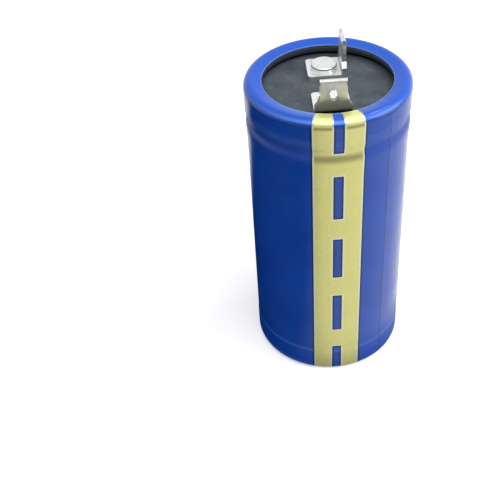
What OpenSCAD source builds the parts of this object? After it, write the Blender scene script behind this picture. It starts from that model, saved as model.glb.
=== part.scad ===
// Cylindrical supercapacitor cell with two riveted tab terminals.
// It stands on its base, +Z runs up its axis, and the negative tab and its stripe face -Y.

/* [Body] */
// Diameter of the straight wall, over the sleeve
body_d = 35.5; // [33:0.5:40]
// Height from the base to the top of the rim
body_h = 73.5; // [66:0.5:95]
// Thickness of the shrunk sleeve
sleeve_t = 0.2; // [0.15:0.05:0.3]
// Thickness of the can's drawn wall
can_t = 0.7; // [0.5:0.05:0.9]
// Thickness of the can's base
base_t = 1.2; // [1:0.1:2]
// Radius of the lower corner, over the sleeve
corner_r = 1.7; // [1.2:0.1:2.2]
// How far the foot stands out past the wall
foot_flare = 0.07; // [0.02:0.01:0.15]
// Height of the foot line
foot_h = 6.6; // [4:0.1:10]
// Length of the slope at the foot line
foot_l = 1.5; // [1:0.1:2.5]

/* [Rim and bead] */
// Radius of the curled rim, over the sleeve
rim_r = 1.6; // [1.4:0.1:2]
// How far the rim stands out past the wall
rim_flare = 0.3; // [0.2:0.05:0.8]
// Fall of the rim's top towards the mouth, in degrees
rim_fall = 12; // [4:1:16]
// Width of the rim, from the wall in to the sleeve's edge at the mouth
rim_w = 3.65; // [3.1:0.05:4.5]
// How far the sleeve reaches in past the can's lip
sleeve_lip = 0.15; // [0.05:0.05:0.3]
// Height of the lip's inner edge over the deck
lip_rise = 1.6; // [1.2:0.1:1.8]
// How far the lip is drawn back below that edge
lip_back = 0.6; // [0.3:0.1:0.8]
// Radius of the bead that is rolled into the can
bead_r = 1.6; // [1.3:0.1:2]
// Depth of the bead in the can
bead_depth = 1.4; // [1:0.1:1.6]
// Depth of the waist that the sleeve shows over the bead
waist_depth = 0.15; // [0.05:0.05:0.4]
// Radius of the waist
waist_r = 2.6; // [2:0.1:3]
// Height of the swelling under the waist, past the wall
swell = 0.17; // [0.05:0.01:0.3]
// Radius of the swelling where it turns into the waist
swell_r = 4; // [3:0.5:6]
// Length of the slope from the swelling down to the wall
swell_l = 4.5; // [3:0.5:8]
// Height of the skirt over the waist, past the wall
skirt = 0.25; // [0.1:0.05:0.3]
// Radius of the skirt where it turns into the waist
skirt_r = 4; // [3:0.5:6]

/* [Base] */
// Width of the sleeve's fold under the base
fold_w = 2.7; // [2:0.1:4]
// Radius of the shallow dish in the base
dish_r = 13.2; // [10:0.1:13.4]
// Depth of the dish
dish_depth = 0.4; // [0.2:0.05:0.6]
// Number of grooves in the pressure vent
vent_arms = 3; // [2:1:4]
// Length of a vent groove from the axis
vent_l = 9.5; // [6:0.5:9.5]
// Width of a vent groove
vent_w = 0.7; // [0.4:0.1:1]
// Depth of a vent groove
vent_depth = 0.4; // [0.2:0.05:0.5]

/* [Stripe] */
// Width of the stripe along the wall
stripe_w = 10.9; // [8:0.1:14]
// Width of the dashes left open in the stripe
dash_w = 2.2; // [1:0.1:3]
// Distance from one dash to the next
dash_pitch = 17.1; // [12:0.1:20]
// Length of the bridge between two dashes
bridge_l = 5.7; // [4:0.1:8]
// Height of the lowest bridge
bridge_z = 8.5; // [4:0.1:14]
// Turn of the sleeve against the terminals, in degrees
stripe_turn = 1.3; // [-10:0.1:10]
// Thickness of the printed film, set flush in the sleeve
film_t = 0.06; // [0.04:0.01:0.08]
// Height at which the print ends above the base
print_end = 0.4; // [0.3:0.1:0.8]

/* [Deck] */
// Drop from the top of the rim to the deck
deck_drop = 3; // [2.4:0.1:3.4]
// Thickness of the rubber seal
rubber_t = 1.2; // [1:0.1:2]
// Thickness of the terminal board
board_t = 1.8; // [1.5:0.1:3]
// Radial clearance of the deck in the can
deck_gap = 0.1; // [0.05:0.05:0.2]
// Clearance between the bead and the edge of the board
seat_gap = 0.02; // [0.01:0.01:0.05]
// Radius of the moulded ring at the deck's centre
mark_r = 0.9; // [0.6:0.1:1.4]
// Width of the ring's groove
mark_w = 0.25; // [0.15:0.05:0.4]
// Depth of the ring's groove
mark_depth = 0.12; // [0.06:0.02:0.3]

/* [Terminals] */
// Distance between the two rivets
rivet_pitch = 14; // [13:0.1:14.5]
// Radius of a rivet's shank
shank_r = 1.5; // [1.2:0.1:1.8]
// Clearance around a shank
shank_gap = 0.05; // [0.03:0.01:0.1]
// Radius of a rivet's head
head_r = 2.85; // [2.5:0.05:3]
// Height of a rivet's head over its flange
head_h = 0.85; // [0.6:0.05:1.1]
// Radius of the flange under the head
flange_r = 3.2; // [3.05:0.05:3.25]
// Height of the flange
flange_h = 0.25; // [0.2:0.05:0.4]
// Rounding of a rivet's edges
head_round = 0.3; // [0.15:0.05:0.4]
// Distance between the grooves of the waffled head
waffle_pitch = 0.8; // [0.7:0.05:1.2]
// Depth of the grooves of the waffled head
waffle_depth = 0.22; // [0.1:0.02:0.3]
// Turn of the waffled head's grooves, in degrees
waffle_turn = 20; // [0:5:45]
// Thickness of the tab's sheet
tab_t = 1; // [0.8:0.05:1.1]
// Width of a tab's plate
tab_w = 7.8; // [7:0.1:8]
// Reach of the plate from the rivet to its free edge
tab_back = 3.8; // [3.5:0.1:4.2]
// Rounding of the plate's free corners
plate_round = 0.8; // [0.4:0.1:1.2]
// Reach from the rivet to the outer face of the blade
tab_reach = 4.5; // [4.3:0.1:5]
// Height of the blade's tip over the deck
tab_h = 8.6; // [8.4:0.1:9.5]
// Inner radius of the tab's bend
bend_r = 0.25; // [0.15:0.05:0.25]
// Straight rise of the blade over its bend
shoulder_rise = 1.25; // [1:0.05:1.4]
// Length of the shoulders, from the plate's width to the neck
shoulder_l = 2.4; // [2:0.1:2.6]
// Width of the blade halfway up its shoulders
knee_w = 6.1; // [5.8:0.1:6.6]
// Width of the blade at its neck
neck_w = 5.5; // [5:0.1:5.7]
// Length of the slope from the neck to the grip
flare_l = 0.5; // [0.3:0.05:0.6]
// Width of the blade at its grip
blade_w = 5.75; // [5.5:0.05:6.2]
// Length of the grip
grip_l = 1.25; // [1:0.05:1.4]
// Width of the blade at the notches under its tip
notch_w = 5.3; // [4.8:0.1:5.5]
// Length of the slope from the grip into the notches
step_l = 0.55; // [0.4:0.05:0.6]
// Length of the notches
notch_l = 0.75; // [0.6:0.05:0.85]
// Length of the slope from the notches to the tip
barb_l = 0.25; // [0.15:0.05:0.3]
// Width of the blade's tip
tip_w = 5.6; // [5:0.1:5.8]
// Width of the oblong hole in the blade
hole_w = 1.55; // [1.2:0.05:1.8]
// Length of the oblong hole
hole_l = 2.5; // [2:0.1:2.8]
// Height of the hole's middle over the deck
hole_z = 5.05; // [4.8:0.05:5.3]
// Length of the bevel at the blade's tip
bevel_l = 0.35; // [0.2:0.05:0.5]
// Depth of the bevel on each face
bevel_d = 0.28; // [0.1:0.02:0.3]
// Length of the rounding under the bevel
brow_l = 0.2; // [0.1:0.05:0.3]
// Depth of the rounding under the bevel
brow_d = 0.06; // [0.02:0.01:0.08]

/* [Inside] */
// Thickness of the inner contact washers
washer_t = 0.6; // [0.4:0.1:1]
// Radius of the inner contact washers
washer_r = 3.6; // [3.2:0.1:4.2]
// Thickness of the lead strips
lead_t = 0.3; // [0.2:0.05:0.4]
// Width of the lead strips
lead_w = 5; // [4.5:0.1:6]
// Reach of a lead strip past its rivet
lead_back = 3; // [2.6:0.1:3.4]
// Inner radius of a lead strip's bend
lead_bend = 0.4; // [0.2:0.05:0.6]
// Depth to which the lead strips run down between the turns
lead_root = 8; // [4:0.5:20]
// Clearance around the lead strips in the winding
lead_gap = 0.05; // [0.03:0.01:0.1]
// Radius of a rivet's upset end
upset_r = 2.4; // [2.1:0.1:2.8]
// Height of a rivet's upset end
upset_h = 0.7; // [0.5:0.1:1]
// Radial room between the winding and the can
roll_gap = 0.2; // [0.1:0.05:0.4]
// Radius of the hole that the winding spindle leaves
core_r = 2; // [1.5:0.1:2.6]
// Distance between the turns shown on the winding's ends
turn_pitch = 1.4; // [1:0.1:2.5]
// Depth of the lines between those turns
turn_depth = 0.15; // [0.1:0.05:0.3]
// Thickness of the tape round the winding
tape_t = 0.1; // [0.06:0.02:0.2]
// Thickness of the insulating discs
disc_t = 0.3; // [0.2:0.05:0.5]
// Room between the winding and the bead
head_room = 0.6; // [0.4:0.1:1.5]
// Width of the insulating ring over the winding
ring_w = 6.8; // [4:0.1:8]

/* [Hidden] */
$fn = 96;

sleeve_blue = [0.08, 0.2, 0.66];
stripe_gold = [0.78, 0.74, 0.42];
aluminium = [0.78, 0.79, 0.8];
tinned = [0.82, 0.82, 0.79];
rubber_grey = [0.2, 0.21, 0.22];
board_brown = [0.36, 0.22, 0.13];
roll_grey = [0.3, 0.3, 0.31];
tape_tan = [0.85, 0.8, 0.6];
paper_white = [0.93, 0.92, 0.88];

// Radii of the body
wall_r = body_d / 2;
can_in = wall_r - sleeve_t - can_t;
foot_r = wall_r + foot_flare;
corner_x = foot_r - corner_r;
rim_x = wall_r + rim_flare - rim_r;
mouth_r = wall_r - rim_w;
lip_r = mouth_r + sleeve_lip;
fold_r = wall_r - fold_w;
deck_r = can_in - deck_gap;
roll_r = can_in - roll_gap - tape_t;

// Heights of the deck's layers, from the rim down
rim_z = body_h - rim_r;
deck_z = body_h - deck_drop;
board_top = deck_z - rubber_t;
board_z = board_top - board_t;

// The bead carries the edge of the terminal board
bead_x = wall_r - sleeve_t - bead_depth + bead_r;
bead_out_r = bead_r + can_t;
bead_z = board_z - seat_gap - sqrt(bead_out_r * bead_out_r - pow(bead_x - deck_r, 2));

// The waist runs smoothly into the swelling below it and the skirt above it
function blend_height(r, depth) = sqrt(pow(waist_r + r, 2) - pow(waist_r + r - depth, 2));
waist_x = wall_r - waist_depth + waist_r;
swell_x = wall_r + swell - swell_r;
swell_z = bead_z - blend_height(swell_r, waist_depth + swell);
skirt_x = wall_r + skirt - skirt_r;
skirt_z = bead_z + blend_height(skirt_r, waist_depth + skirt);

// Heights inside the can, from the base up
floor_z = sleeve_t + dish_depth + base_t;
roll_z = floor_z + disc_t;
roll_top = bead_z - sqrt(bead_out_r * bead_out_r - pow(bead_x - can_in, 2)) - head_room;
lead_top = board_z;
washer_z = lead_top - lead_t - washer_t;

// Places and sizes of the terminals
rivet_y = rivet_pitch / 2;
bend_out = bend_r + tab_t;
shoulder_low = bend_out + shoulder_rise;
knee_z = shoulder_low + shoulder_l / 2;
neck_z = shoulder_low + shoulder_l;
grip_low = neck_z + flare_l;
grip_high = grip_low + grip_l;
notch_low = grip_high + step_l;
notch_high = notch_low + notch_l;
barb_z = notch_high + barb_l;
lead_reach = washer_r + lead_bend + lead_t;
lead_foot = roll_top - lead_root;

// Angles of the stripe and of its dashes, seen from the axis
stripe_half = stripe_w / wall_r * 90 / PI;
dash_half = dash_w / wall_r * 90 / PI;
last_bridge = floor((rim_z - bridge_z - bridge_l) / dash_pitch);

// Overshoot of a cut, and a length past every edge
over = 1;
far = body_d;

// Wall with its foot and the swelling under the waist, drawn in by inset
module wall_profile(inset) {
    polygon([
        [0, inset],
        [corner_x, inset],
        [corner_x, corner_r],
        [foot_r - inset, corner_r],
        [foot_r - inset, foot_h - foot_l / 2],
        [wall_r - inset, foot_h + foot_l / 2],
        [wall_r - inset, swell_z - swell_l],
        [wall_r + swell - inset, swell_z],
        [swell_x, swell_z],
        [swell_x, bead_z],
        [0, bead_z]
    ]);
    translate([corner_x, corner_r])
        circle(max(corner_r - inset, film_t));
    translate([swell_x, swell_z])
        circle(swell_r - inset);
}

// Skirt over the waist and the curled rim, drawn in by inset
module rim_profile(inset) {
    fall = rim_r - inset;
    top_x = rim_x - fall * sin(rim_fall);
    top_z = rim_z + fall * cos(rim_fall);
    mouth_z = top_z - (top_x - mouth_r) * tan(rim_fall);
    polygon([
        [0, bead_z],
        [skirt_x, bead_z],
        [skirt_x, skirt_z],
        [wall_r + skirt - inset, skirt_z],
        [wall_r + rim_flare - inset, rim_z],
        [rim_x, rim_z],
        [top_x, top_z],
        [mouth_r, mouth_z],
        [0, mouth_z]
    ]);
    translate([rim_x, rim_z])
        circle(rim_r - inset);
    translate([skirt_x, skirt_z])
        circle(skirt_r - inset);
}

// The body's outline as a filled half section, drawn in by inset; the waist joins its two halves
module body_profile(inset) {
    low = bead_z - (bead_z - swell_z) * (waist_r + inset) / (waist_r + swell_r);
    high = bead_z + (skirt_z - bead_z) * (waist_r + inset) / (waist_r + skirt_r);
    union() {
        wall_profile(inset);
        rim_profile(inset);
        difference() {
            translate([0, low])
                square([waist_x, high - low]);
            translate([waist_x, bead_z])
                circle(waist_r + inset);
        }
    }
}

module mouth_cut(r) {
    translate([0, deck_z])
        square([r, body_h]);
}

module sleeve_section() {
    difference() {
        body_profile(0);
        body_profile(sleeve_t);
        mouth_cut(mouth_r);
        translate([0, -over])
            square([fold_r, sleeve_t + 2 * over]);
    }
}

// Lip of the curl: below its inner edge it is drawn back to where it bites on the rubber
module lip_section() {
    bite_r = lip_r + lip_back;
    polygon([
        [lip_r, deck_z + lip_rise],
        [bite_r, deck_z],
        [bite_r + can_t, deck_z],
        [bite_r + can_t, body_h],
        [lip_r, body_h]
    ]);
}

module can_section() {
    difference() {
        body_profile(sleeve_t);
        translate([bead_x, bead_z])
            circle(bead_r);
        difference() {
            intersection() {
                body_profile(sleeve_t + can_t);
                translate([0, floor_z])
                    square([far, body_h]);
            }
            translate([bead_x, bead_z])
                circle(bead_out_r);
            lip_section();
        }
        difference() {
            mouth_cut(lip_r + lip_back);
            lip_section();
        }
        square([dish_r, sleeve_t + dish_depth]);
    }
}

// Wedge about the axis, on the stripe's side, between two heights
module stripe_wedge(half, low, high) {
    rotate([0, 0, stripe_turn])
        translate([0, 0, low])
            linear_extrude(high - low)
                polygon([
                    [0, 0],
                    [-far * tan(half), -far],
                    [far * tan(half), -far]
                ]);
}

module stripe_bridges() {
    for (k = [0 : last_bridge])
        stripe_wedge(2 * dash_half, bridge_z + k * dash_pitch, bridge_z + k * dash_pitch + bridge_l);
}

module stripe_film() {
    difference() {
        intersection() {
            rotate_extrude()
                difference() {
                    body_profile(0);
                    body_profile(film_t);
                    mouth_cut(mouth_r);
                }
            stripe_wedge(stripe_half, print_end, body_h + over);
        }
        difference() {
            stripe_wedge(dash_half, 0, body_h + 2 * over);
            stripe_bridges();
        }
    }
}

module sleeve() {
    color(sleeve_blue)
        difference() {
            rotate_extrude()
                sleeve_section();
            stripe_film();
        }
}

module polarity_stripe() {
    color(stripe_gold)
        stripe_film();
}

// Score lines that let the base open under pressure
module vent_grooves() {
    for (k = [0 : vent_arms - 1])
        rotate([0, 0, k * 360 / vent_arms])
            translate([0, -vent_w / 2, sleeve_t + dish_depth - over])
                cube([vent_l, vent_w, vent_depth + over]);
}

module can() {
    color(aluminium)
        difference() {
            rotate_extrude()
                can_section();
            vent_grooves();
        }
}

module at_rivets() {
    for (side = [-1, 1])
        translate([0, side * rivet_y, 0])
            children();
}

module rivet_holes(low, high) {
    at_rivets()
        translate([0, 0, low - over])
            cylinder(r = shank_r + shank_gap, h = high - low + 2 * over);
}

module sealing_rubber() {
    color(rubber_grey)
        difference() {
            translate([0, 0, board_top])
                cylinder(r = deck_r, h = rubber_t);
            rivet_holes(board_top, deck_z);
            translate([0, 0, deck_z - mark_depth])
                difference() {
                    cylinder(r = mark_r, h = over);
                    cylinder(r = mark_r - mark_w, h = over);
                }
        }
}

module terminal_board() {
    color(board_brown)
        difference() {
            translate([0, 0, board_z])
                cylinder(r = deck_r, h = board_t);
            rivet_holes(board_z, board_top);
        }
}

// Quarter bend of a sheet: it leaves along -Y at its foot and ends upright
module sheet_bend(width, thick, inner_r) {
    outer_r = inner_r + thick;
    translate([-width / 2, 0, outer_r])
        intersection() {
            rotate([0, 90, 0])
                difference() {
                    cylinder(r = outer_r, h = width);
                    translate([0, 0, -over])
                        cylinder(r = inner_r, h = width + 2 * over);
                }
            translate([0, -outer_r, -outer_r])
                cube([width, outer_r, outer_r]);
        }
}

// Plate with two round corners at its free edge, from the bend back
module tab_plate() {
    linear_extrude(tab_t)
        difference() {
            union() {
                translate([-tab_w / 2, bend_out - tab_reach])
                    square([tab_w, tab_reach - bend_out + tab_back - plate_round]);
                translate([plate_round - tab_w / 2, tab_back - plate_round - over])
                    square([tab_w - 2 * plate_round, plate_round + over]);
                for (side = [-1, 1])
                    translate([side * (tab_w / 2 - plate_round), tab_back - plate_round])
                        circle(plate_round);
            }
            circle(shank_r + shank_gap);
        }
}

// One edge of the blade, from its bend up to its tip
module blade_half() {
    polygon([
        [0, bend_out],
        [tab_w / 2, bend_out],
        [tab_w / 2, shoulder_low],
        [knee_w / 2, knee_z],
        [neck_w / 2, neck_z],
        [blade_w / 2, grip_low],
        [blade_w / 2, grip_high],
        [notch_w / 2, notch_low],
        [notch_w / 2, notch_high],
        [tip_w / 2, barb_z],
        [tip_w / 2, tab_h],
        [0, tab_h]
    ]);
}

module blade_outline() {
    blade_half();
    mirror([1, 0])
        blade_half();
}

module oblong_hole() {
    reach = (hole_l - hole_w) / 2;
    translate([-hole_w / 2, hole_z - reach])
        square([hole_w, 2 * reach]);
    for (side = [-1, 1])
        translate([0, hole_z + side * reach])
            circle(hole_w / 2);
}

// Section of the blade from the side: its tip is bevelled and rounded on both faces
module blade_side() {
    bevel_z = tab_h - bevel_l;
    brow_z = bevel_z - brow_l;
    top_d = brow_d + bevel_d;
    polygon([
        [0, bend_out],
        [tab_t, bend_out],
        [tab_t, brow_z],
        [tab_t - brow_d, bevel_z],
        [tab_t - top_d, tab_h],
        [top_d, tab_h],
        [brow_d, bevel_z],
        [0, brow_z]
    ]);
}

module tab_blade() {
    intersection() {
        translate([0, tab_t, 0])
            rotate([90, 0, 0])
                linear_extrude(tab_t)
                    difference() {
                        blade_outline();
                        oblong_hole();
                    }
        translate([-tab_w / 2, 0, 0])
            rotate([90, 0, 90])
                linear_extrude(tab_w)
                    blade_side();
    }
}

// Stamped tab with its rivet hole on the axis and its blade towards -Y
module tab() {
    color(tinned) {
        tab_plate();
        translate([0, bend_out - tab_reach, 0])
            sheet_bend(tab_w, tab_t, bend_r);
        translate([0, -tab_reach, 0])
            tab_blade();
    }
}

module at_negative(z) {
    translate([0, -rivet_y, z])
        children();
}

// The positive terminal is the same stamping, turned to face +X
module at_positive(z, turn) {
    translate([0, rivet_y, z])
        rotate([0, 0, turn])
            children();
}

module negative_tab() {
    at_negative(deck_z)
        tab();
}

module positive_tab() {
    at_positive(deck_z, 90)
        tab();
}

// Half section of a rivet, with its upper end at the tab's top face
module rivet_section() {
    tab_top = deck_z + tab_t;
    head_z = tab_top + flange_h;
    translate([0, washer_z - over / 2])
        square([shank_r, head_z - washer_z + over / 2]);
    translate([0, tab_top])
        square([flange_r, flange_h]);
    translate([0, head_z])
        square([head_r, head_h - head_round]);
    translate([0, head_z])
        square([head_r - head_round, head_h]);
    translate([head_r - head_round, head_z + head_h - head_round])
        circle(head_round);
    translate([0, washer_z - upset_h])
        square([upset_r - head_round, upset_h]);
    translate([0, washer_z - upset_h + head_round])
        square([upset_r, upset_h - head_round]);
    translate([upset_r - head_round, washer_z - upset_h + head_round])
        circle(head_round);
}

module rivet() {
    rotate_extrude()
        rivet_section();
}

// Crossed V grooves over the top of a head
module waffle_cuts() {
    count = floor(head_r / waffle_pitch);
    side = waffle_depth * sqrt(2);
    top = deck_z + tab_t + flange_h + head_h;
    for (turn = [0, 90])
        rotate([0, 0, waffle_turn + turn])
            for (k = [-count : count])
                translate([-far / 2, k * waffle_pitch, top])
                    rotate([45, 0, 0])
                        translate([0, -side / 2, -side / 2])
                            cube([far, side, side]);
}

module negative_rivet() {
    color(tinned)
        at_negative(0)
            difference() {
                rivet();
                waffle_cuts();
            }
}

module positive_rivet() {
    color(tinned)
        at_positive(0, 0)
            rivet();
}

module washer() {
    color(aluminium)
        difference() {
            cylinder(r = washer_r, h = washer_t);
            translate([0, 0, -over])
                cylinder(r = shank_r + shank_gap, h = washer_t + 2 * over);
        }
}

module negative_washer() {
    at_negative(washer_z)
        washer();
}

module positive_washer() {
    at_positive(washer_z, 0)
        washer();
}

// Strip that runs in under the board from a rivet, then down into the winding
module lead() {
    bend_turn = lead_bend + lead_t;
    color(aluminium) {
        translate([0, 0, -lead_t])
            linear_extrude(lead_t)
                difference() {
                    translate([-lead_w / 2, -lead_back])
                        square([lead_w, lead_back + lead_reach - bend_turn]);
                    circle(shank_r + shank_gap);
                }
        translate([0, lead_reach - bend_turn, 0])
            rotate([180, 0, 0])
                sheet_bend(lead_w, lead_t, lead_bend);
        translate([-lead_w / 2, lead_reach - lead_t, lead_foot - lead_top])
            cube([lead_w, lead_t, lead_top - lead_foot - bend_turn]);
    }
}

module negative_lead() {
    at_negative(lead_top)
        lead();
}

module positive_lead() {
    at_positive(lead_top, 180)
        lead();
}

// Room for the two lead strips between the winding's turns
module lead_slots() {
    for (side = [-1, 1])
        translate([
            -lead_w / 2 - lead_gap,
            side * (rivet_y - lead_reach + lead_t / 2) - lead_t / 2 - lead_gap,
            lead_foot - lead_gap
        ])
            cube([lead_w + 2 * lead_gap, lead_t + 2 * lead_gap, lead_root + over]);
}

module turn_lines() {
    for (r = [core_r + turn_pitch : turn_pitch : roll_r - turn_depth])
        difference() {
            cylinder(r = r + turn_depth / 2, h = turn_depth);
            cylinder(r = r - turn_depth / 2, h = turn_depth);
        }
}

module winding() {
    color(roll_grey)
        difference() {
            translate([0, 0, roll_z])
                cylinder(r = roll_r, h = roll_top - roll_z);
            translate([0, 0, roll_z - over])
                cylinder(r = core_r, h = roll_top - roll_z + 2 * over);
            translate([0, 0, roll_top - turn_depth])
                turn_lines();
            translate([0, 0, roll_z])
                turn_lines();
            lead_slots();
        }
}

module winding_tape() {
    color(tape_tan)
        translate([0, 0, roll_z])
            difference() {
                cylinder(r = roll_r + tape_t, h = roll_top - roll_z);
                translate([0, 0, -over])
                    cylinder(r = roll_r, h = roll_top - roll_z + 2 * over);
            }
}

// Ring that keeps the winding's edge off the bead, open for the leads
module upper_insulator() {
    color(paper_white)
        translate([0, 0, roll_top])
            difference() {
                cylinder(r = roll_r, h = disc_t);
                translate([0, 0, -over])
                    cylinder(r = roll_r - ring_w, h = disc_t + 2 * over);
            }
}

module base_insulator() {
    color(paper_white)
        translate([0, 0, floor_z])
            cylinder(r = roll_r, h = disc_t);
}

sleeve();
polarity_stripe();
can();
sealing_rubber();
terminal_board();
negative_tab();
positive_tab();
negative_rivet();
positive_rivet();
negative_washer();
positive_washer();
negative_lead();
positive_lead();
winding();
winding_tape();
upper_insulator();
base_insulator();
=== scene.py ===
import math

import bpy
from mathutils import Matrix, Vector


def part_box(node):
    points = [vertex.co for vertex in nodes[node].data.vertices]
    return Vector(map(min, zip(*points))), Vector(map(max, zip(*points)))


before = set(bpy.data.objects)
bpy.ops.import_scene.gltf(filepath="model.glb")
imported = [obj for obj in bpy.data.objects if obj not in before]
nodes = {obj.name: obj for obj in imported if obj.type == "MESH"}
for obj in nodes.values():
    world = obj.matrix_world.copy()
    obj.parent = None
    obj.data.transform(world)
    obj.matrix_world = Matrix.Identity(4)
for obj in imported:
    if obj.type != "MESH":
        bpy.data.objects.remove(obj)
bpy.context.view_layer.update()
mm = 0.001
print("frame loaded:", len(nodes), "nodes")


def topOf(name):    # height of a node's top, in millimetres
    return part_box(name)[1][2] / mm


# sizes that the finishes follow, in millimetres and degrees
body = {
    "wallRadius": 17.75,
    "mouthRadius": 14.1,
    "rimTop": topOf("sleeve"),
    "deckTop": topOf("sealing_rubber"),
    "headTop": topOf("positive_rivet"),
    "tipTop": topOf("negative_tab"),
    "stripeAzimuth": -88.7,
    "stripeWidth": 10.9,
    "dashWidth": 2.2,
    "dashPitch": 17.1,
    "bridgeLength": 5.7,
    "bridgeStart": 8.5,
}


# a socket that can stand in sums; each sum adds its Math node
class Wire:
    def __init__(self, tree, socket=None):
        self.tree = tree
        self.socket = socket

    def node(self, kind, settings=None, inputs=None, out=0):
        made = self.tree.nodes.new(kind)
        for key, value in (settings or {}).items():
            setattr(made, key, value)
        for key, value in (inputs or {}).items():
            if isinstance(value, Wire):
                self.tree.links.new(value.socket, made.inputs[key])
            else:
                made.inputs[key].default_value = value
        return Wire(self.tree, made.outputs[out])

    def other(self, name):
        return Wire(self.tree, self.socket.node.outputs[name])

    def math(self, operation, first, second=0.0, third=0.0):
        sockets = {0: first, 1: second, 2: third}
        return self.node("ShaderNodeMath", {"operation": operation}, sockets)

    def __add__(self, value):
        return self.math("ADD", self, value)

    __radd__ = __add__

    def __sub__(self, value):
        return self.math("SUBTRACT", self, value)

    def __rsub__(self, value):
        return self.math("SUBTRACT", value, self)

    def __mul__(self, value):
        return self.math("MULTIPLY", self, value)

    __rmul__ = __mul__

    def __abs__(self):
        return self.math("ABSOLUTE", self)

    def wrap(self, half):    # brought between -half and half
        return self.math("WRAP", self, half, -half)

    def rise(self, start, end):    # 0 up to start, 1 from end on, smooth between
        limits = {"Value": self, "From Min": start, "From Max": end}
        return self.node("ShaderNodeMapRange", {"interpolation_type": "SMOOTHSTEP"}, limits)

    def near(self, middle, width):    # 1 at middle, fading to 0 at width from it
        return 1 - abs(self - middle).rise(0.0, width)

    def band(self, middle, width, share):    # the same, with share at middle
        return self.near(middle, width) * share


# a new material: its tree, its shader and its object coordinates in millimetres
class Finish:
    def __init__(self, name):
        self.material = bpy.data.materials.new(name)
        self.material.use_nodes = True
        tree = self.material.node_tree
        self.shader = tree.nodes["Principled BSDF"]
        self.start = Wire(tree)
        metres = self.start.node("ShaderNodeTexCoord", out="Object")
        self.place = self.start.node(
            "ShaderNodeVectorMath", {"operation": "SCALE"}, {0: metres, "Scale": 1 / mm})
        self.x = self.start.node("ShaderNodeSeparateXYZ", None, {0: self.place})
        self.y = self.x.other("Y")
        self.z = self.x.other("Z")

    def above(self, level):    # height over a level of the body
        return self.z - body[level]

    def below(self, level):    # depth under a level of the body
        return body[level] - self.z

    def radius(self):
        return self.start.math("SQRT", self.x * self.x + self.y * self.y)

    def azimuth(self):
        return self.start.math("ARCTAN2", self.y, self.x)

    def noise(self, size, detail, stretch=(1, 1, 1), roughness=0.5):
        spread = self.start.node(
            "ShaderNodeMapping", None, {"Vector": self.place, "Scale": stretch})
        values = {"Vector": spread, "Scale": 1 / size, "Detail": detail, "Roughness": roughness}
        return self.start.node("ShaderNodeTexNoise", None, values)

    def blend(self, factor, first, second):    # colours
        sockets = {"Factor": factor, 6: first, 7: second}
        return self.start.node("ShaderNodeMix", {"data_type": "RGBA"}, sockets, out=2)

    def bump(self, height, strength, depth):
        sockets = {"Height": height, "Strength": strength, "Distance": depth * mm}
        self.wear({"Normal": self.start.node("ShaderNodeBump", None, sockets)})

    def wear(self, values):
        for key, value in values.items():
            if isinstance(value, Wire):
                self.start.tree.links.new(value.socket, self.shader.inputs[key])
            else:
                self.shader.inputs[key].default_value = value

    def dress(self, *names):
        for name in names:
            slots = nodes[name].data.materials
            slots.clear()
            slots.append(self.material)


def around(finish, degrees):    # signed distance along the wall from an azimuth, in mm
    return (finish.azimuth() - math.radians(degrees)).wrap(math.pi) * body["wallRadius"]


def printEdge(finish):    # distance to the print's border, positive on the print
    across = abs(around(finish, body["stripeAzimuth"]))
    dashHalf = (body["dashPitch"] - body["bridgeLength"]) / 2
    dashMiddle = body["bridgeStart"] - dashHalf
    along = abs((finish.z - dashMiddle).wrap(body["dashPitch"] / 2))
    dash = finish.start.math("MAXIMUM", across - body["dashWidth"] / 2, along - dashHalf)
    return finish.start.math("MINIMUM", body["stripeWidth"] / 2 - across, dash)


# In each look a fade is where it is 0 and where it is 1, a band is its middle, its half width
# and its share, roughness is its lowest value and the noise's share, and bump is its strength
# and depth. Lengths are in millimetres.
sleeveLook = {
    "blue": (0.003, 0.056, 0.36, 1),
    "deepBlue": (0.002, 0.046, 0.32, 1),
    "litRimBlue": (0.006, 0.099, 0.61, 1),
    "shoulderHighlight": (0.14, 0.29, 0.8, 1),
    "edgeGlintBlue": (0.25, 0.4, 0.8, 1),
    "lineBlue": (0.001, 0.007, 0.03, 1),
    "shadedFootBlue": (0.002, 0.05, 0.35, 1),
    "shade": (0.002, 0.03, 0.2, 1),
    "footLight": (0.06, 0.16, 0.56, 1),
    "cloud": {"size": 14, "detail": 4},
    "cloudFade": (0.35, 0.7),
    "peel": {"size": 1.5, "detail": 2},
    "peelHeight": 0.04,
    "smear": {"size": 6, "detail": 4},
    "smearFade": (0.3, 0.75),
    # depths under the rim's top
    "rimFade": (1.2, 0.8),
    "shoulderBand": (0.55, 0.45, 0.85),
    "shadeBand": (1.45, 0.55, 0.75),
    "beadHighlightBand": (5.5, 1.6, 0.2),
    "waistBand": (8.0, 4.0, 0.22),
    "borderTop": (0.7, 1.7),
    "creaseTop": (4.5, 6.0),
    # heights over the base
    "footFade": (6.6, 5.4),
    "footHighlightBand": (6.8, 0.75, 0.4),
    "borderFoot": (0.3, 0.6),
    "creaseFoot": (0.5, 2.0),
    # the film's cut edge, a painted highlight: out from the mouth, and over the deck
    "edgeFade": (0.15, 0.02),
    "edgeRise": (-0.5, 0.5),
    "edgeShare": 0.7,
    # places and widths along the wall, azimuths in degrees
    "shoulderAzimuth": -97,
    "shoulderReach": 24,
    "borderPlace": -0.2,
    "borderWidth": 0.36,
    "creaseAzimuth": -49.4,
    "creaseWidth": 0.2,
    "foldWidth": 0.9,
    "foldHeight": 0.6,
    "roughness": (0.16, 0.1),
    "bump": (0.5, 0.12),
    "specular": 0.36,
}


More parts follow.
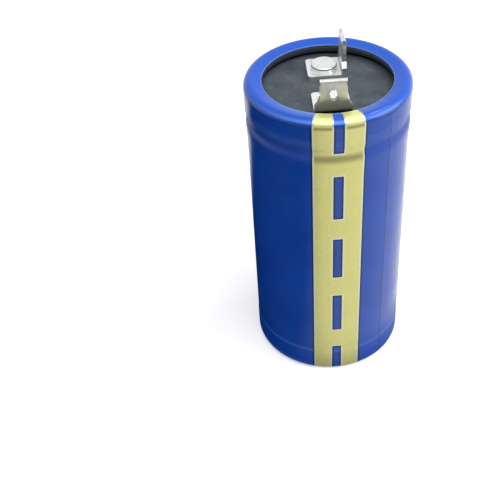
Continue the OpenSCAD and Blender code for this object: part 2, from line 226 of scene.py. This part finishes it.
def sleeveFinish():
    look = sleeveLook
    film = Finish("sleeve film")
    depth = film.below("rimTop")
    cloud = film.noise(**look["cloud"])
    blue = film.blend(cloud.rise(*look["cloudFade"]), look["deepBlue"], look["blue"])
    # painted light: a brighter blue on the rim's top, where the top light falls
    blue = film.blend(depth.rise(*look["rimFade"]), blue, look["litRimBlue"])
    # painted highlight: a paler band on the rim's shoulder, at the front only
    reach = around(film, look["shoulderAzimuth"]).near(0, look["shoulderReach"])
    blue = film.blend(depth.band(*look["shoulderBand"]) * reach, blue, look["shoulderHighlight"])
    blue = film.blend(depth.band(*look["shadeBand"]), blue, look["shade"])
    # painted highlight: a paler band on the bead below the rim
    blue = film.blend(depth.band(*look["beadHighlightBand"]), blue, look["footLight"])
    # painted shade: a darker blue on the foot, below 6.6 mm
    blue = film.blend(film.z.rise(*look["footFade"]), blue, look["shadedFootBlue"])
    # painted highlight: a paler line where the wall meets the foot
    blue = film.blend(film.z.band(*look["footHighlightBand"]), blue, look["footLight"])
    line = printEdge(film).near(look["borderPlace"], look["borderWidth"])
    border = line * film.z.rise(*look["borderFoot"]) * depth.rise(*look["borderTop"])
    blue = film.blend(border, blue, look["lineBlue"])
    # painted highlight: the film's cut edge at the mouth in a paler blue
    mouth = (film.radius() - body["mouthRadius"]).rise(*look["edgeFade"])
    cutEdgeGlint = mouth * film.above("deckTop").rise(*look["edgeRise"])
    blue = film.blend(cutEdgeGlint * look["edgeShare"], blue, look["edgeGlintBlue"])
    height = film.noise(**look["peel"]) * look["peelHeight"]
    for turn in (0, 180):
        side = around(film, look["creaseAzimuth"] + turn)
        ends = depth.rise(*look["creaseTop"]) * film.z.rise(*look["creaseFoot"])
        blue = film.blend(side.near(0, look["creaseWidth"]) * ends, blue, look["lineBlue"])
        height = height + side.near(0, look["foldWidth"]) * look["foldHeight"]
    lowest, share = look["roughness"]
    smear = film.noise(**look["smear"]).rise(*look["smearFade"])
    film.wear({"Base Color": blue, "Specular IOR Level": look["specular"]})
    film.wear({"Roughness": smear * share + depth.band(*look["waistBand"]) + lowest})
    film.bump(height, *look["bump"])
    film.dress("sleeve")


stripeLook = {
    "gold": (0.54, 0.52, 0.17, 1),
    "paleGold": (0.62, 0.6, 0.22, 1),
    "litRimGold": (0.84, 0.87, 0.32, 1),
    "sheen": (1, 1, 0.5, 1),
    "border": (0.57, 0.61, 0.46, 1),
    "shade": (0.2, 0.2, 0.07, 1),
    "grain": {"size": 0.35, "detail": 2},
    "paleFade": (0.3, 0.7),
    "paleShare": 0.3,
    "fleckFade": (0.42, 0.66),
    "fleckShare": 0.2,
    "cloud": {"size": 5, "detail": 4},
    "cloudShare": 0.7,
    # depths under the rim's top
    "rimFade": (2.1, 1.1),
    "sheenBand": (0.45, 0.3, 0.3),
    "rimFoldShade": (1.6, 0.75, 0.95),
    "waistFoldShade": (9.3, 1.6, 0.8),
    # in from the print's edge
    "borderFade": (0.45, 0.2),
    "metallic": 0.45,
    "roughness": (0.28, 0.12),
    "bump": (0.08, 0.02),
}


def stripeFinish():
    look = stripeLook
    ink = Finish("stripe print")
    depth = ink.below("rimTop")
    grain = ink.noise(**look["grain"])
    cloud = ink.noise(**look["cloud"])
    pale = grain.rise(*look["paleFade"]) * look["paleShare"] + cloud * look["cloudShare"]
    gold = ink.blend(pale, look["gold"], look["paleGold"])
    # dark grain flecks of the print, in the shade colour
    gold = ink.blend(grain.rise(*look["fleckFade"]) * look["fleckShare"], gold, look["shade"])
    # painted light: a brighter gold on the rim's top, where the top light falls
    gold = ink.blend(depth.rise(*look["rimFade"]), gold, look["litRimGold"])
    gold = ink.blend(depth.band(*look["sheenBand"]), gold, look["sheen"])
    # painted shade: darker gold in the fold under the rim and in the waist
    foldShade = depth.band(*look["rimFoldShade"]) + depth.band(*look["waistFoldShade"])
    gold = ink.blend(foldShade, gold, look["shade"])
    gold = ink.blend(printEdge(ink).rise(*look["borderFade"]), gold, look["border"])
    lowest, share = look["roughness"]
    ink.wear({"Base Color": gold, "Metallic": look["metallic"]})
    ink.wear({"Roughness": grain * share + lowest})
    ink.bump(grain, *look["bump"])
    ink.dress("polarity_stripe")


rubberLook = {
    "grey": (0.075, 0.095, 0.116, 1),
    "darkGrey": (0.043, 0.056, 0.068, 1),
    "edge": (0.03, 0.037, 0.047, 1),
    "dust": (0.24, 0.26, 0.28, 1),
    "cloud": {"size": 5, "detail": 5},
    "cloudFade": (0.3, 0.7),
    "cloudHeight": 2,
    "smudge": {"size": 2.4, "detail": 5, "roughness": 0.6},
    "smudgeFade": (0.5, 0.75),
    "smudgeShare": 0.22,
    "speck": {"size": 0.35, "detail": 1},
    "speckFade": (0.72, 0.8),
    "speckShare": 0.3,
    "grain": {"size": 0.25, "detail": 3},
    # out from the mouth
    "edgeFade": (-1.1, 0.7),
    "roughness": (0.62, 0.2),
    "bump": (0.4, 0.05),
}


def rubberFinish():
    look = rubberLook
    rubber = Finish("deck rubber")
    cloud = rubber.noise(**look["cloud"])
    grey = rubber.blend(cloud.rise(*look["cloudFade"]), look["darkGrey"], look["grey"])
    for mark in ("smudge", "speck"):
        dust = rubber.noise(**look[mark]).rise(*look[mark + "Fade"]) * look[mark + "Share"]
        grey = rubber.blend(dust, grey, look["dust"])
    outward = rubber.radius() - body["mouthRadius"]
    # painted shade: the deck darker out towards the wall, under the curl
    grey = rubber.blend(outward.rise(*look["edgeFade"]), grey, look["edge"])
    lowest, share = look["roughness"]
    rubber.wear({"Base Color": grey, "Roughness": cloud * share + lowest})
    rubber.bump(rubber.noise(**look["grain"]) + cloud * look["cloudHeight"], *look["bump"])
    rubber.dress("sealing_rubber")


tabLook = {
    "tin": (0.86, 0.87, 0.87, 1),
    "shadedBladeTin": (0.5, 0.5, 0.48, 1),
    "stain": (0.4, 0.39, 0.33, 1),
    "streak": (0.2, 0.2, 0.18, 1),
    "olive": (0.26, 0.26, 0.18, 1),
    "bladeFootShade": (0.03, 0.03, 0.026, 1),
    "cloud": {"size": 2.2, "detail": 5},
    "rolled": {"size": 0.5, "detail": 3, "stretch": (1, 1, 0.3)},
    "streaks": {"size": 0.45, "detail": 4, "stretch": (1, 1, 0.25)},
    "stainFade": (0.4, 0.75),
    "streakFade": (0.5, 0.75),
    "streakShare": 0.4,
    # heights over the deck
    "bladeFade": (1.1, 2.1),
    "rootFade": (4.7, 2.7),
    "bladeFootShadeFade": (2.1, 1.2),
    # depth under the tip
    "tipShadeBand": (0.68, 0.16, 0.5),
    # places on the y axis: the negative tab, and the outer face of its blade
    "frontFade": (-4, -9),
    "faceFade": (-10.9, -11.3),
    # the least share, and what is added on the front tab or on a blade
    "darkShare": (0.2, 0.8),
    "stainShare": (0.2, 0.5),
    "rootShare": 0.8,
    "rootMetal": 0.5,
    "rootDull": 0.1,
    "bladeDull": 0.14,
    "rolledDull": 0.1,
    "roughness": (0.22, 0.12),
    "bump": (0.25, 0.02),
}


def tabFinish():
    look = tabLook
    tin = Finish("tin plate")
    height = tin.above("deckTop")
    cloud = tin.noise(**look["cloud"])
    rolled = tin.noise(**look["rolled"])
    blade = height.rise(*look["bladeFade"])
    front = tin.y.rise(*look["frontFade"])
    least, more = look["darkShare"]
    # painted shade: the blades in a darker tin, most on the front tab
    colour = tin.blend(blade * (front * more + least), look["tin"], look["shadedBladeTin"])
    least, more = look["stainShare"]
    stain = cloud.rise(*look["stainFade"]) * (blade * more + least)
    colour = tin.blend(stain, colour, look["stain"])
    streak = tin.noise(**look["streaks"]).rise(*look["streakFade"])
    colour = tin.blend(streak * blade * look["streakShare"], colour, look["streak"])
    # painted shade: a dark line under the tip, in the streak colour
    colour = tin.blend(tin.below("tipTop").band(*look["tipShadeBand"]), colour, look["streak"])
    root = blade * front * height.rise(*look["rootFade"])
    colour = tin.blend(root * look["rootShare"], colour, look["olive"])
    # painted shade: the foot of the front blade's outer face near black
    bladeFootShade = front * height.rise(*look["bladeFootShadeFade"]) * tin.y.rise(*look["faceFade"])
    colour = tin.blend(bladeFootShade, colour, look["bladeFootShade"])
    dull = root * look["rootDull"] + blade * front * look["bladeDull"] + rolled * look["rolledDull"]
    lowest, share = look["roughness"]
    tin.wear({"Base Color": colour, "Metallic": 1 - root * look["rootMetal"]})
    tin.wear({"Roughness": cloud * share + dull + lowest})
    tin.bump(rolled, *look["bump"])
    tin.dress("negative_tab", "positive_tab")


rivetLook = {
    "bright": (0.82, 0.83, 0.82, 1),
    "dull": (0.7, 0.71, 0.7, 1),
    "side": (0.09, 0.09, 0.085, 1),
    "cloud": {"size": 1.2, "detail": 4},
    "cloudFade": (0.4, 0.7),
    "grain": {"size": 0.2, "detail": 3},
    # depth under the head's top
    "sideShadeBand": (0.34, 0.24, 0.9),
    "metallic": 1.0,
    "roughness": (0.24, 0.2),
    "bump": (0.15, 0.02),
}


def rivetFinish():
    look = rivetLook
    metal = Finish("rivet metal")
    cloud = metal.noise(**look["cloud"])
    colour = metal.blend(cloud.rise(*look["cloudFade"]), look["bright"], look["dull"])
    # painted shade: a dark band round the side of each head
    side = metal.below("headTop").band(*look["sideShadeBand"])
    colour = metal.blend(side, colour, look["side"])
    lowest, share = look["roughness"]
    metal.wear({"Base Color": colour, "Metallic": look["metallic"]})
    metal.wear({"Roughness": cloud * share + lowest})
    metal.bump(metal.noise(**look["grain"]), *look["bump"])
    metal.dress("negative_rivet", "positive_rivet")


canLook = {
    "bright": (0.76, 0.77, 0.78, 1),
    "dull": (0.6, 0.61, 0.62, 1),
    "lip": (0.27, 0.3, 0.35, 1),
    "lipFootShade": (0.01, 0.02, 0.06, 1),
    "cloud": {"size": 4, "detail": 5},
    "cloudFade": (0.35, 0.7),
    "rings": {"Scale": 6.0, "Detail": 3.0},
    # heights over the deck
    "lipFade": (0.4, 1.0),
    "curlFade": (-1.5, -1.4),
    "metallic": 1.0,
    "roughness": (0.26, 0.15),
    "bump": (0.2, 0.02),
}


def canFinish():
    look = canLook
    metal = Finish("drawn aluminium")
    height = metal.above("deckTop")
    cloud = metal.noise(**look["cloud"])
    values = {"W": metal.radius(), **look["rings"]}
    rings = metal.start.node("ShaderNodeTexNoise", {"noise_dimensions": "1D"}, values)
    colour = metal.blend(cloud.rise(*look["cloudFade"]), look["bright"], look["dull"])
    # painted shade: the lip over the deck in dark grey, near black at its foot
    lip = metal.blend(height.rise(*look["lipFade"]), look["lipFootShade"], look["lip"])
    colour = metal.blend(height.rise(*look["curlFade"]), colour, lip)
    lowest, share = look["roughness"]
    metal.wear({"Base Color": colour, "Metallic": look["metallic"]})
    metal.wear({"Roughness": rings * share + lowest})
    metal.bump(rings, *look["bump"])
    metal.dress("can", "negative_washer", "positive_washer", "negative_lead", "positive_lead")


windingLook = {
    "carbon": (0.03, 0.03, 0.033, 1),
    "paper": (0.35, 0.33, 0.29, 1),
    "turn": 0.35,
    "paperFade": (0.7, 0.8),
    "cloud": {"size": 1, "detail": 3},
    "roughness": (0.6, 0.2),
    "bump": (0.3, 0.05),
}


def windingFinish():
    look = windingLook
    roll = Finish("wound foil")
    layer = roll.start.math("FRACT", roll.radius() * (1 / look["turn"]))
    colour = roll.blend(layer.rise(*look["paperFade"]), look["carbon"], look["paper"])
    lowest, share = look["roughness"]
    roll.wear({"Base Color": colour, "Roughness": roll.noise(**look["cloud"]) * share + lowest})
    roll.bump(layer, *look["bump"])
    roll.dress("winding")


boardLook = {
    "light": (0.2, 0.1, 0.055, 1),
    "dark": (0.13, 0.06, 0.035, 1),
    "fibre": {"size": 1.5, "detail": 4, "stretch": (0.3, 1, 1)},
    "fibreFade": (0.35, 0.65),
    "roughness": (0.4, 0.2),
    "bump": (0.2, 0.03),
}
tapeLook = {
    "light": (0.62, 0.5, 0.2, 1),
    "dark": (0.5, 0.38, 0.14, 1),
    "fibre": {"size": 0.8, "detail": 5},
    "fibreFade": (0.3, 0.7),
    "roughness": (0.25, 0.2),
    "bump": (0.2, 0.02),
}
paperLook = {
    "light": (0.8, 0.77, 0.7, 1),
    "dark": (0.68, 0.64, 0.56, 1),
    "fibre": {"size": 0.8, "detail": 5},
    "fibreFade": (0.3, 0.7),
    "roughness": (0.7, 0.2),
    "bump": (0.2, 0.02),
}


def fibreFinish(name, look, *pieces):
    sheet = Finish(name)
    fibre = sheet.noise(**look["fibre"])
    colour = sheet.blend(fibre.rise(*look["fibreFade"]), look["dark"], look["light"])
    lowest, share = look["roughness"]
    sheet.wear({"Base Color": colour, "Roughness": fibre * share + lowest})
    sheet.bump(fibre, *look["bump"])
    sheet.dress(*pieces)


sleeveFinish()
stripeFinish()
rubberFinish()
tabFinish()
rivetFinish()
canFinish()
windingFinish()
fibreFinish("pressed laminate", boardLook, "terminal_board")
fibreFinish("roll tape", tapeLook, "winding_tape")
fibreFinish("pressboard", paperLook, "upper_insulator", "base_insulator")
print("finishes done")

# the stage's places and sizes are in metres
stage = {
    "size": 4.0,
    "floor": (0.82, 0.82, 0.82, 1),
    "nearGlow": (0.46, 0.46, 0.46, 1),
    "farGlow": (1, 1, 1, 1),
    "glowFade": (0.2, 0.9),
    "skyColour": (1, 1, 1, 1),
    "skyLight": 0.4,
}


def seenDirectly(wire):    # 1 for camera, mirror and glass rays
    path = wire.node("ShaderNodeLightPath", out="Is Camera Ray")
    total = path + path.other("Is Glossy Ray") + path.other("Is Transmission Ray")
    return wire.math("MINIMUM", total, 1.0)


def makeFloor():
    bpy.ops.object.select_all(action="DESELECT")
    bpy.ops.mesh.primitive_plane_add(size=stage["size"], location=(0, 0, 0))
    floor = bpy.context.object
    floor.name = "floor"
    paint = bpy.data.materials.new("floor paint")
    paint.use_nodes = True
    tree = paint.node_tree
    tree.nodes.clear()
    wire = Wire(tree)
    matte = wire.node("ShaderNodeBsdfDiffuse", None, {"Color": stage["floor"]})
    place = wire.node("ShaderNodeTexCoord", out="Object")
    away = wire.node("ShaderNodeVectorMath", {"operation": "LENGTH"}, {0: place}, out="Value")
    fade = away.rise(*stage["glowFade"])
    tones = {"Factor": fade, 6: stage["nearGlow"], 7: stage["farGlow"]}
    tone = wire.node("ShaderNodeMix", {"data_type": "RGBA"}, tones, out=2)
    glow = wire.node("ShaderNodeEmission", None, {"Color": tone, "Strength": seenDirectly(wire)})
    both = wire.node("ShaderNodeAddShader", None, {0: matte, 1: glow})
    output = tree.nodes.new("ShaderNodeOutputMaterial")
    tree.links.new(both.socket, output.inputs["Surface"])
    floor.data.materials.append(paint)


def makeWorld():    # full strength where it is seen, less as light on matte surfaces
    world = bpy.data.worlds.new("studio")
    bpy.context.scene.world = world
    world.use_nodes = True
    tree = world.node_tree
    tree.nodes.clear()
    wire = Wire(tree)
    strength = seenDirectly(wire) * (1 - stage["skyLight"]) + stage["skyLight"]
    values = {"Color": stage["skyColour"], "Strength": strength}
    sky = wire.node("ShaderNodeBackground", None, values)
    output = tree.nodes.new("ShaderNodeOutputWorld")
    tree.links.new(sky.socket, output.inputs["Surface"])


lamps = {
    "top lamp": {
        "place": (0.05, -0.2, 0.5),
        "aim": (0, 0, 0.05),
        "size": 0.4,
        "power": 1.25,
    },
    "right lamp": {
        "place": (0.55, -0.12, 0.25),
        "aim": (0, 0, 0.04),
        "size": 0.5,
        "power": 2.15,
    },
    "rim lamp": {
        "place": (0.28, 0.12, 0.57),
        "aim": (0, 0, 0.07),
        "size": 0.11,
        "power": 0.42,
    },
}


def makeLamp(name, place, aim, size, power):
    bpy.ops.object.light_add(type="AREA", location=place)
    lamp = bpy.context.object
    lamp.name = name
    lamp.data.shape = "DISK"
    lamp.data.size = size
    lamp.data.energy = power
    direction = Vector(aim) - Vector(place)
    lamp.rotation_euler = direction.to_track_quat("-Z", "Y").to_euler()


def mirrorOnly(card):    # seen as a reflection only
    card.visible_camera = False
    card.visible_shadow = False
    card.visible_diffuse = False


# dark cards out of the picture: one on the left, and the room behind the camera
cards = {
    "left card": {
        "place": (-0.1142, -0.0515, 0.002),
        "size": (0.18, 0.3),
        "turn": (0, 0, -26.8),
        "colour": (0.003, 0.01, 0.06, 1),
    },
    "room": {
        "place": (0, -0.8, 0.21),
        "size": (3.0, 0.42),
        "turn": (90, 0, 0),
        "colour": (0.012, 0.012, 0.014, 1),
    },
}
# the cards' cloth: it fades out at the edges, in thousandths of a card's size from its middle
cardLook = {"edgeFade": (500, 400), "roughness": 0.9, "specular": 0.0}


def makeCard(name, place, size, turn, colour):
    bpy.ops.object.select_all(action="DESELECT")
    angles = [math.radians(value) for value in turn]
    bpy.ops.mesh.primitive_plane_add(size=1, location=place, rotation=angles)
    card = bpy.context.object
    card.name = name
    card.scale = (size[0], size[1], 1)
    cloth = Finish(name + " cloth")
    cloth.wear({"Base Color": colour, "Roughness": cardLook["roughness"]})
    cloth.wear({"Specular IOR Level": cardLook["specular"]})
    fade = cardLook["edgeFade"]
    cloth.wear({"Alpha": abs(cloth.x).rise(*fade) * abs(cloth.y).rise(*fade)})
    card.data.materials.append(cloth.material)
    mirrorOnly(card)


# what the foot mirrors of the floor close to it, in millimetres:
# dark under the cell and white further out
footShade = {
    "radius": 25,
    "lift": 0.3,
    "corners": 96,
    "black": (0, 0, 0, 1),
    "dark": (0.25, 0.3, 0.5, 1),
    "light": (1, 1, 1, 1),
    "specular": 0.0,
    "strength": 1.0,
}


def makeFootShade():
    look = footShade
    bpy.ops.object.select_all(action="DESELECT")
    bpy.ops.mesh.primitive_circle_add(
        vertices=look["corners"], radius=look["radius"] * mm, fill_type="NGON",
        location=(0, 0, look["lift"] * mm))
    disc = bpy.context.object
    disc.name = "foot shade"
    cloth = Finish("foot shade cloth")
    fade = cloth.radius().rise(body["wallRadius"], look["radius"])
    cloth.wear({"Base Color": look["black"], "Specular IOR Level": look["specular"]})
    cloth.wear({"Emission Strength": look["strength"]})
    cloth.wear({"Emission Color": cloth.blend(fade, look["dark"], look["light"])})
    disc.data.materials.append(cloth.material)
    mirrorOnly(disc)


makeFloor()
makeWorld()
makeFootShade()
for name, lamp in lamps.items():
    makeLamp(name, **lamp)
for name, card in cards.items():
    makeCard(name, **card)
print("stage done")

# the camera, in millimetres and degrees
view = {
    "place": (-19.04, -169.077, 173.531),
    "pitch": 41.106,
    "roll": 4.109,
    "lens": 65.564,
    "sensor": 36,
    "nearest": 10,
}


def makeCamera():
    bpy.ops.object.camera_add()
    camera = bpy.context.object
    camera.data.lens = view["lens"]
    camera.data.sensor_width = view["sensor"]
    camera.data.clip_start = view["nearest"] * mm
    place = Matrix.Translation([value * mm for value in view["place"]])
    tip = Matrix.Rotation(math.radians(90 - view["pitch"]), 4, "X")
    roll = Matrix.Rotation(math.radians(-view["roll"]), 4, "Z")
    camera.matrix_world = place @ tip @ roll
    bpy.context.scene.camera = camera


makeCamera()
bpy.context.scene.view_settings.view_transform = "Standard"
print("camera and sizes done")
